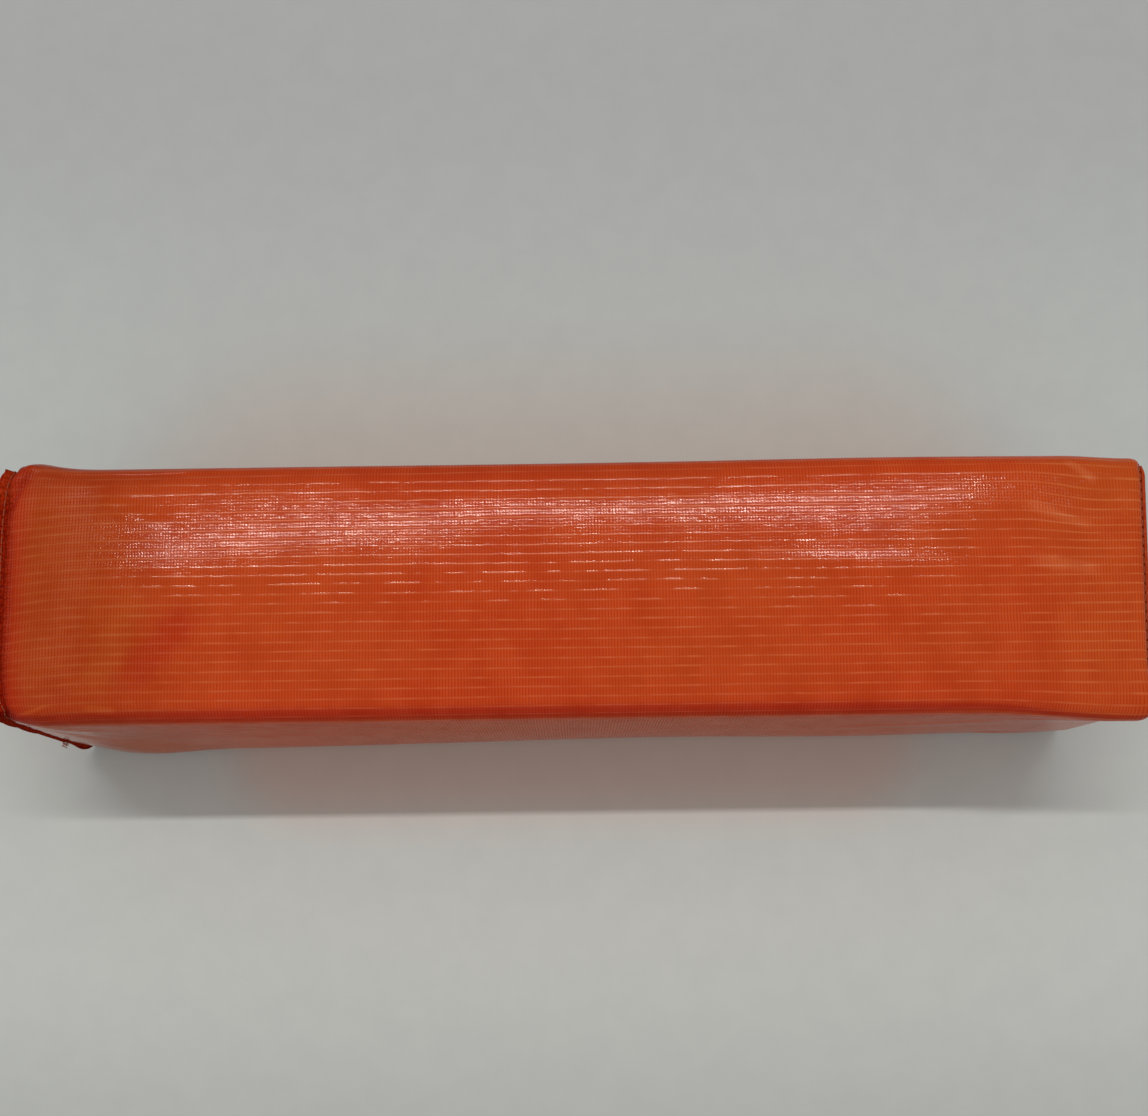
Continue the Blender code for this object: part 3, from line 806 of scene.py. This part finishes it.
# Folds with painted light and shade: edge, start and end (mm along the sheet, mm round from the edge),
# width in mm and tint. A darker tint is painted shade in a crease, a paler one a painted highlight on a
# fold or painted sheen near the top end
FOLD_SHADE_AND_HIGHLIGHTS = (
    (FAR_TOP, (7.5, 16.3), (15.0, 0.0), 2.2, (0.85, 0.62, 0.55)),
    (NEAR_TOP, (8.0, -1.0), (27.0, -7.0), 1.2, (1.15, 1.6, 1.8)),
    (NEAR_TOP, (40.0, -5.0), (54.0, -3.0), 2.4, (1.12, 1.5, 1.6)),
    (FAR_TOP, (414.0, 18.0), (444.0, 26.0), 3.4, PAINTED_SHEEN),
    (FAR_TOP, (416.0, 41.0), (446.0, 46.0), 4.2, PAINTED_SHEEN),
    (FAR_TOP, (432.0, 1.0), (445.0, 8.0), 2.2, PAINTED_SHEEN),
)
# Painted light and shade of two broad slack folds near the base: a paler lit ridge and a darker shaded
# flank, in the same columns
SLACK_FOLD_SHADE_AND_LIGHT = (
    (FAR_TOP, (42.0, 92.0), (64.0, 44.0), 9.0, (1.03, 1.2, 1.25)),
    (FAR_TOP, (54.0, 90.0), (86.0, 54.0), 10.0, (0.95, 0.74, 0.85)),
)

Cloth = collections.namedtuple("Cloth", "places u v")
Yarns = collections.namedtuple("Yarns", "line rib shown_rib fine dome")


def fold_mask(g, cloth, edge, start, end, width):
    """Mask of one fold, where painted light or shade is laid, between two places on the cloth."""
    run = np.array(end) - np.array(start)
    length = float(np.linalg.norm(run))
    run_u, run_v = (float(part) for part in run / length)
    from_u = g.math("SUBTRACT", cloth.u, start[0])
    from_v = g.math("SUBTRACT", cloth.v, edge / MM + start[1])
    along = g.math("MULTIPLY_ADD", from_u, run_u, g.math("MULTIPLY", from_v, run_v))
    off = g.math("MULTIPLY_ADD", from_u, run_v, g.math("MULTIPLY", from_v, -run_u))
    mask = g.ramp(g.math("ABSOLUTE", off), width * 0.2, width, 1.0, 0.0)
    mask = g.math("MULTIPLY", mask, g.ramp(along, -1.0, length * 0.25))
    return g.math("MULTIPLY", mask, g.ramp(along, length * 0.75, length + 1.0, 1.0, 0.0))


def fold_light_and_shade(g, cloth, folds):
    """Painted light and shade of some folds, each laid over the ones before it."""
    tone = WHITE
    for *place, tint in folds:
        tone = g.mix(fold_mask(g, cloth, *place), tone, tint)
    return tone


def fading(g, value, low, high, tint, rest=WHITE):
    """A tint that is full up to low and gives way to another by high."""
    return g.mix(g.ramp(value, low, high), tint, rest)


def cloth_places(g):
    """Places on the cloth in mm: as a vector, along the sheet and round it."""
    places = g.scaled(g.node("ShaderNodeUVMap", {"uv_map": "cloth"}).outputs[0], (1000.0, 1000.0, 0.0))
    split = g.node("ShaderNodeSeparateXYZ", Vector=places)
    return Cloth(places, split.outputs[0], split.outputs[1])


def printed_yarns(g, cloth):
    """Masks of the lengthwise lines, the crosswise ribs and the fine yarns that print through the film."""
    v_wavy = g.math("MULTIPLY_ADD", g.cloth_noise(cloth, (0.016, 0.11)), 1.1, cloth.v)
    row = g.math("DIVIDE", v_wavy, LINE_PITCH)
    off_line = g.math("ABSOLUTE", g.math("SUBTRACT", g.math("FRACT", row), 0.5))
    line = g.ramp(off_line, 0.0, g.ramp(cloth.u, 25.0, 110.0, 0.30, 0.19), 1.0, 0.0)
    fade = g.cloth_noise(cloth, (0.07, 0.27), 2.0, 0.6)
    line = g.math("MULTIPLY", line, g.ramp(fade, 0.36, 0.62, 0.3, 1.0))
    line = g.math("MULTIPLY", line, g.ramp(cloth.u, 20.0, 110.0, 0.65, 1.0))
    between = g.math("SUBTRACT", 1.0, line)

    u_wavy = g.math("MULTIPLY_ADD", g.cloth_noise(cloth, (0.12, 0.06)), 0.8, cloth.u)
    cell = g.math("MULTIPLY", u_wavy, math.pi / RIB_PITCH)
    strength = g.ramp(g.cloth_noise(cloth, (0.07, 0.05), 3.0), 0.3, 0.7, 0.55, 1.0)
    rib = g.math("MULTIPLY", g.math("ABSOLUTE", g.math("SINE", cell)), strength)
    shown_rib = g.math("MULTIPLY", rib, between)
    crimp = g.math("MULTIPLY", g.math("SINE", g.math("MULTIPLY", cell, 2.0)), 0.4)
    fine = g.math("ABSOLUTE", g.math("SINE", g.math("MULTIPLY_ADD", row, 3 * math.pi, crimp)))
    dome = g.math("MULTIPLY", g.math("MULTIPLY", fine, between), g.math("MULTIPLY_ADD", rib, 0.6, 0.4))
    return Yarns(line, rib, shown_rib, fine, dome)


def woven_colour(g, cloth, yarns):
    """Colour of the film with the yarns that show through it."""
    blotch = g.cloth_noise(cloth, (0.012, 0.022), 3.0)
    film = g.mix(g.ramp(blotch, 0.36, 0.64), *FILM_COLOURS)
    ribbed = g.mix(g.math("MULTIPLY", yarns.shown_rib, 0.9), film, RIB_COLOUR)
    return g.mix(g.math("MULTIPLY", yarns.line, 0.5), ribbed, LINE_COLOUR)


def base_tints(g, cloth):
    """Tints: darker and browner towards the base end, painted shade in the seam's valley beside the rim,
    and the rim's own flecks under painted shade, with less shade at the tab.
    """
    base_end_darkening = fading(g, cloth.u, 35.0, 100.0, (0.79, 0.89, 0.7))
    # Painted shade in the seam's valley beside the rim
    by_seam = fading(g, cloth.u, 8.0, 21.0, (1.0, 0.55, 0.68))
    flecks = g.ramp(g.noise(cloth.places, 0.9), 0.4, 0.6)
    # The rim's own red flecks, darkened by painted shade of the seam's valley; the tab, which stands up,
    # gets less of it
    red = g.mix(flecks, (0.40, 0.18, 0.3), (0.72, 0.50, 0.5))
    pale = g.mix(flecks, (0.62, 0.60, 0.6), (1.0, 1.1, 1.0))
    from_tab = g.math("ABSOLUTE", g.math("SUBTRACT", cloth.v, FAR_TOP / MM))
    rim = fading(g, cloth.u, 6.0, 12.0, fading(g, from_tab, 5.0, 13.0, pale, red))
    return base_end_darkening, by_seam, rim


def edge_shades(g, cloth):
    """Painted shade beside the far and near edges of the top face, where they round away from the light,
    and along the fold that runs along the near one.
    """
    far_row = FAR_TOP / MM
    far = fading(g, cloth.v, far_row + 1.0, far_row + 13.0, (0.88, 0.80, 0.95))
    far = fading(g, cloth.u, 240.0, 400.0, far)
    from_near = g.math("SUBTRACT", cloth.v, NEAR_TOP / MM)
    near = fading(g, g.math("ABSOLUTE", from_near), 0.0, 22.0, (0.99, 0.86, 0.93))
    from_fold = g.math("SUBTRACT", from_near, g.ramp(cloth.u, 395.0, 440.0, 0.0, 2.4))
    from_fold = g.math("MULTIPLY", g.math("ABSOLUTE", from_fold), g.ramp(cloth.u, 340.0, 430.0, 1.0, 2.0))
    fold = fading(g, from_fold, 1.5, 4.8, (0.82, 0.55, 0.75))
    return far, near, fold


def side_tints(g, cloth, upright):
    """Tints of the upright sides, painted light that stands in for how they look in shade with the floor
    reflected in them, and of the top end on the level ones.
    """
    level_end = g.math("MULTIPLY", g.ramp(cloth.u, 405.0, 445.0), g.math("SUBTRACT", 1.0, upright))
    return g.mix(upright, WHITE, (0.95, 1.18, 0.95)), g.mix(level_end, WHITE, (0.99, 1.2, 1.1))


def fabric_bump(g, cloth, yarns):
    """Fine relief of the film, in mm."""
    cockle = g.cloth_noise(cloth, (0.10, 0.30))
    grain = g.cloth_noise(cloth, (0.5, 0.75), 1.0)
    masks = (yarns.line, yarns.shown_rib, yarns.dome, cockle, grain)
    height = 0.0
    for mask, share in zip(masks, BUMP_HEIGHTS):
        height = g.math("MULTIPLY_ADD", mask, share, height)
    g.bump(height, MM)


def fabric_roughness(g, cloth, yarns, upright):
    """Roughness: glossy film, scuffed near the base on the level sides and on the rim."""
    scuffed = g.ramp(g.math("MULTIPLY_ADD", upright, 60.0, cloth.u), 20.0, 50.0, 0.5, 0.08)
    scuffed = g.math("MAXIMUM", scuffed, g.ramp(cloth.u, 5.0, 9.0, 0.7, 0.0))
    return g.math("MAXIMUM", scuffed, g.math("MULTIPLY", yarns.line, 0.2))


def fabric_shine(g, cloth, yarns, upright):
    """Specular level: strong where the yarns cross, rubbed in places, and weak on the rim."""
    gloss = g.ramp(g.math("MULTIPLY", yarns.rib, yarns.fine), 0.1, 0.65, 0.1, 2.3)
    gloss = g.math("MULTIPLY", gloss, g.ramp(g.cloth_noise(cloth, (0.2, 0.35)), 0.35, 0.62, 0.7, 1.3))
    level = g.math("MULTIPLY", gloss, g.math("MULTIPLY_ADD", upright, -0.025, SPECULAR_LEVEL))
    level = g.math("MULTIPLY_ADD", yarns.line, 0.04, level)
    return g.math("MULTIPLY", level, g.ramp(cloth.u, 4.0, 12.0, 0.05, 1.0))


def coated_fabric():
    """Orange vinyl film over a scrim of lengthwise and crosswise yarns that print through it."""
    g = Graph("coated_fabric")
    cloth = cloth_places(g)
    yarns = printed_yarns(g, cloth)
    side_wave = g.math("SINE", g.math("MULTIPLY", cloth.v, math.pi * MM / SIDE_PITCH))
    upright = g.ramp(side_wave, -0.1, 0.35)
    colour = woven_colour(g, cloth, yarns)
    # Most tints below are painted light and shade: on the folds, in the seam's valley and the rim, along
    # the edges and on the upright sides
    folds = [fold_light_and_shade(g, cloth, table) for table in (SLACK_FOLD_SHADE_AND_LIGHT, FOLD_SHADE_AND_HIGHLIGHTS)]
    tints = (*folds, *base_tints(g, cloth), *edge_shades(g, cloth), *side_tints(g, cloth, upright))
    for tint in tints:
        colour = g.tint(colour, tint)
    fabric_bump(g, cloth, yarns)
    roughness = fabric_roughness(g, cloth, yarns, upright)
    shine = fabric_shine(g, cloth, yarns, upright)
    # The plain level that the exported model keeps, where the linked one is dropped
    g.shader.inputs["Specular IOR Level"].default_value = SPECULAR_LEVEL
    return g.finish(colour, roughness, Specular_IOR_Level=shine, Specular_Tint=SPECULAR_TINT)


def raw_edge_material():
    """Cut edge of the coated fabric: the paler ends of the yarns between two films."""
    g = Graph("raw_edge")
    place = g.object_places()
    fibres = g.noise(place, 1400.0, 2.0)
    colour = g.mix(g.ramp(fibres, 0.4, 0.6), (0.40, 0.06, 0.016), (0.58, 0.20, 0.08))
    g.bump(fibres, 0.1 * MM)
    return g.finish(colour, 0.8)


def foam_material():
    """Open-cell foam: pale, matt and pitted, with painted shade in its pores."""
    g = Graph("open_cell_foam")
    place = g.object_places()
    cells = g.node("ShaderNodeTexVoronoi", Vector=place, Scale=700.0).outputs["Distance"]
    tint = g.noise(place, 40.0, 3.0)
    colour = g.mix(g.ramp(tint, 0.3, 0.7), (0.74, 0.71, 0.56), (0.70, 0.66, 0.50))
    # Darker in the middle of each cell: painted shade in the pores
    colour = g.mix(g.ramp(cells, 0.0, 0.5), (0.42, 0.39, 0.28), colour)
    g.bump(cells, 0.5 * MM)
    return g.finish(colour, 0.95)


def thread_material():
    """Twisted sewing thread."""
    g = Graph("sewing_thread")
    place = g.object_places()
    twist = g.node("ShaderNodeTexWave", {"bands_direction": "DIAGONAL"}, Vector=place, Scale=900.0)
    colour = g.mix(twist.outputs["Fac"], (0.24, 0.034, 0.012), (0.38, 0.085, 0.035))
    g.bump(twist.outputs["Fac"], 0.06 * MM)
    return g.finish(colour, 0.7, Specular_IOR_Level=0.12)


def film_material():
    """Cloudy polythene film of the sand bag."""
    g = Graph("bag_film")
    place = g.object_places()
    crinkle = g.noise(place, 160.0, 4.0, 0.6)
    colour = g.mix(g.ramp(crinkle, 0.35, 0.65), (0.72, 0.72, 0.69), (0.80, 0.80, 0.78))
    g.bump(crinkle, 0.8 * MM)
    return g.finish(colour, g.ramp(crinkle, 0.3, 0.7, 0.45, 0.3))


def sand_material():
    """Dry sand of mixed grains."""
    g = Graph("sand")
    place = g.object_places()
    grains = g.node("ShaderNodeTexVoronoi", Vector=place, Scale=2200.0)
    tint = g.node("ShaderNodeSeparateColor", Color=grains.outputs["Color"]).outputs[0]
    colour = g.mix(tint, (0.42, 0.30, 0.17), (0.68, 0.55, 0.38))
    g.bump(grains.outputs["Distance"], 0.4 * MM)
    return g.finish(colour, 0.95)


def nylon_material():
    """Moulded nylon of the tie."""
    g = Graph("tie_nylon")
    place = g.object_places()
    serration = g.node("ShaderNodeTexWave", {"bands_direction": "Y"}, Vector=place, Scale=300.0)
    tint = g.noise(place, 90.0, 3.0)
    colour = g.mix(g.ramp(tint, 0.3, 0.7), (0.78, 0.77, 0.71), (0.82, 0.81, 0.77))
    g.bump(serration.outputs["Fac"], 0.1 * MM)
    return g.finish(colour, g.ramp(tint, 0.3, 0.7, 0.35, 0.45))


# Floor, lamps and camera

FLOOR_REACH = 3.0
FLOOR_DROP = 0.02 * MM
# Painted light falloff of the floor: its tones on the near side, in the middle and on the far side
FLOOR_FALLOFF_TONES = ((0.527, 0.538, 0.505), (0.462, 0.480, 0.458), (0.375, 0.380, 0.371))
FLOOR_SPECK = (0.13, 0.12, 0.11)
# Lamps: name, reach in x, reach in y and power
LAMPS = (
    ("long_lamp", (-0.88, 0.74), (0.646, 0.704), 20.6),
    ("long_lamp_dim_end", (0.74, 1.50), (0.648, 0.702), 0.5),
)
LAMP_HEIGHT = 2.0
SURROUND_LEVEL = 0.38
SURROUND_SLOPES = (0.0, -0.15, 0.27)
BACKDROP = (0.62, 0.62, 0.61)


def make_floor():
    """Plain pale surface that the pylon lies on, with painted light falloff: darker on its far side and
    again farthest on the near side, and a painted warm glow of light bounced off the cover round the pylon.
    """
    g = Graph("pale_surface")
    place = g.object_places()
    split = g.node("ShaderNodeSeparateXYZ", Vector=place)
    x, y = split.outputs[0], split.outputs[1]
    mottle = g.noise(place, 60.0, 4.0, 0.6)
    near_tone, middle_tone, far_tone = FLOOR_FALLOFF_TONES
    tone = fading(g, y, -0.2, 0.1, near_tone, middle_tone)
    tone = fading(g, y, 0.06, 0.30, tone, far_tone)
    tone = g.tint(tone, fading(g, y, -0.27, -0.145, (0.83, 0.83, 0.84)))
    beyond = [
        g.math("MAXIMUM", g.math("SUBTRACT", g.math("ABSOLUTE", value), half), 0.0)
        for value, half in ((x, 0.125), (y, HALF))
    ]
    away = g.math("SQRT", g.math("ADD", *(g.math("MULTIPLY", value, value) for value in beyond)))
    # Painted warm glow of light bounced off the orange cover onto the floor round the pylon, strongest in
    # its shadow on the near side
    near_bounce_glow = fading(g, away, 0.02, 0.055, (1.06, 0.87, 0.81))
    far_bounce_glow = fading(g, away, 0.03, 0.115, (1.02, 0.92, 0.865))
    tone = g.tint(tone, fading(g, y, -HALF, HALF, near_bounce_glow, far_bounce_glow))
    cells = g.node("ShaderNodeTexVoronoi", Vector=place, Scale=9.0)
    lot = g.node("ShaderNodeSeparateColor", Color=cells.outputs["Color"]).outputs[0]
    speck = g.math("LESS_THAN", cells.outputs["Distance"], g.ramp(lot, 0.6, 1.0, 0.0, 0.008))
    tone = g.mix(g.math("MULTIPLY", speck, 0.6), tone, FLOOR_SPECK)
    colour = g.tint(tone, fading(g, mottle, 0.3, 0.7, (0.985, 0.985, 0.985), (1.015, 1.015, 1.01)))
    g.bump(mottle, 0.1 * MM)
    material = g.finish(colour, 0.75, Specular_IOR_Level=0.2)
    signs = ((-1, -1), (1, -1), (1, 1), (-1, 1))
    corners = [(FLOOR_REACH * across, FLOOR_REACH * deep, 0) for across, deep in signs]
    data = bpy.data.meshes.new("floor")
    data.from_pydata(corners, [], [(0, 1, 2, 3)])
    floor = show("floor", data, material)
    floor.location.z = -FLOOR_DROP


def make_lamps():
    """A long soft ceiling lamp beyond the far side, with a dim end."""
    for name, reach, depth, power in LAMPS:
        lamp = bpy.data.lights.new(name, "AREA")
        lamp.shape = "RECTANGLE"
        lamp.size, lamp.size_y = reach[1] - reach[0], depth[1] - depth[0]
        lamp.energy = power
        holder = bpy.data.objects.new(name, lamp)
        holder.location = (sum(reach) / 2, sum(depth) / 2, LAMP_HEIGHT)
        bpy.context.scene.collection.objects.link(holder)


def make_surround():
    """A pale surround, brighter above and on the near side, that the camera sees as a plain backdrop."""
    world = bpy.data.worlds.new("surround")
    world.use_nodes = True
    tree = world.node_tree
    place = tree.nodes.new("ShaderNodeTexCoord")
    slope = tree.nodes.new("ShaderNodeVectorMath")
    slope.operation = "DOT_PRODUCT"
    slope.inputs[1].default_value = SURROUND_SLOPES
    level = tree.nodes.new("ShaderNodeMath")
    level.operation = "ADD"
    level.inputs[1].default_value = SURROUND_LEVEL
    seen = tree.nodes.new("ShaderNodeLightPath")
    choose = tree.nodes.new("ShaderNodeMix")
    choose.data_type = "RGBA"
    choose.inputs[7].default_value = (*BACKDROP, 1.0)
    tree.links.new(place.outputs["Generated"], slope.inputs[0])
    tree.links.new(slope.outputs["Value"], level.inputs[0])
    tree.links.new(seen.outputs["Is Camera Ray"], choose.inputs[0])
    tree.links.new(level.outputs[0], choose.inputs[6])
    tree.links.new(choose.outputs[2], tree.nodes["Background"].inputs["Color"])
    bpy.context.scene.world = world


FRAME_WIDTH = 1148
FOCAL_PIXELS = 1266.0
AXIS_BELOW_CENTRE = 120.0
EYE = (0.0011, -0.0888, 0.6016)
TURN = (5.95, 0.11, -0.77)


def make_camera():
    """The photograph's camera, fitted to the pylon's edges."""
    data = bpy.data.cameras.new("camera")
    data.sensor_width = 36.0
    data.lens = data.sensor_width * FOCAL_PIXELS / FRAME_WIDTH
    data.shift_y = AXIS_BELOW_CENTRE / FRAME_WIDTH
    data.clip_start = 0.01
    camera = bpy.data.objects.new("camera", data)
    camera.location = EYE
    camera.rotation_euler = Euler([math.radians(angle) for angle in TURN])
    bpy.context.scene.collection.objects.link(camera)
    bpy.context.scene.camera = camera


def attach(piece, node):
    """Ties a piece to the one body and hides the CAD node that it stands for."""
    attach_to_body(piece, "root")
    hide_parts(node)


RIM_SEAM_SHARE = 0.8
TOP_SEAM_ANGLE = math.radians(24)
LONG_SEAM_START = 15 * MM
LONG_SEAM_LIFTS = (-0.2 * MM, 0.3 * MM)


def attach_stitches(outline, ring, rise, thread):
    """Puts the stitches on the seam of the rim, on the turned top seam and on the long seam."""
    rim_seam = outline.along[0] + (VALLEY_X - RIM_X) * RIM_SEAM_SHARE
    top_seam = outline.along[-1] - END_TUCK - ROLL_RADIUS * TOP_SEAM_ANGLE
    under = -LAYER - SHEET
    crown = THREAD * 0.5
    for name, node, seam, foot, crest in (
        ("base_needle_stitches", "base_seam_needle_thread", rim_seam, 0.0, crown),
        ("base_bobbin_stitches", "base_seam_bobbin_thread", rim_seam, under, under - crown),
        ("top_seam_stitches", "top_seam_thread", top_seam, 0.0, crown),
    ):
        lines = seam_lines(outline, ring, rise, seam, foot, crest)
        attach(stitches(name, *lines, thread), node)
    body = (outline.x > BASE_X + LONG_SEAM_START) & (outline.x < WRAP_END_X - LONG_SEAM_START)
    lines = [settle(surface(outline, ring, rise + lift))[body, 0] for lift in LONG_SEAM_LIFTS]
    attach(stitches("long_seam_stitches", *lines, thread, closed=False), "wrap_seam_thread")


FOAM_INSET = 2.2 * MM
SLAB_INSET = 0.6 * MM


def build():
    """Dresses the frame."""
    fabric = coated_fabric()
    raw_edge = raw_edge_material()
    thread = thread_material()
    foam = foam_material()
    ring = make_ring()

    outline = cover_outline()
    rise = cover_rise(outline, ring)
    cover = two_faced("cover", outline, ring, rise, wrapped_chart(outline, ring), fabric, raw_edge)
    attach(cover, "cover_wrap")
    attach(make_base_panel(ring, fabric, raw_edge), "base_end_panel")
    attach(make_top_panel(ring, fabric, raw_edge), "top_end_panel")
    attach(make_foam("foam_block", "foam_core", FOAM_INSET, foam), "foam_core")
    attach(make_foam("foam_closing_slab", "foam_plug", SLAB_INSET, foam), "foam_plug")
    attach_stitches(outline, ring, rise, thread)
    rim = settle(surface(outline, ring, rise))[0]
    attach(loose_thread(rim, thread), "thread_tail")

    finishes = {"weight_bag": film_material(), "sand_fill": sand_material(), "bag_tie": nylon_material()}
    for name, material in finishes.items():
        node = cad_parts[name]
        node.data.materials.clear()
        node.data.materials.append(material)
    make_floor()
    make_lamps()
    make_surround()
    make_camera()
    bpy.context.scene.view_settings.view_transform = "Standard"


build()
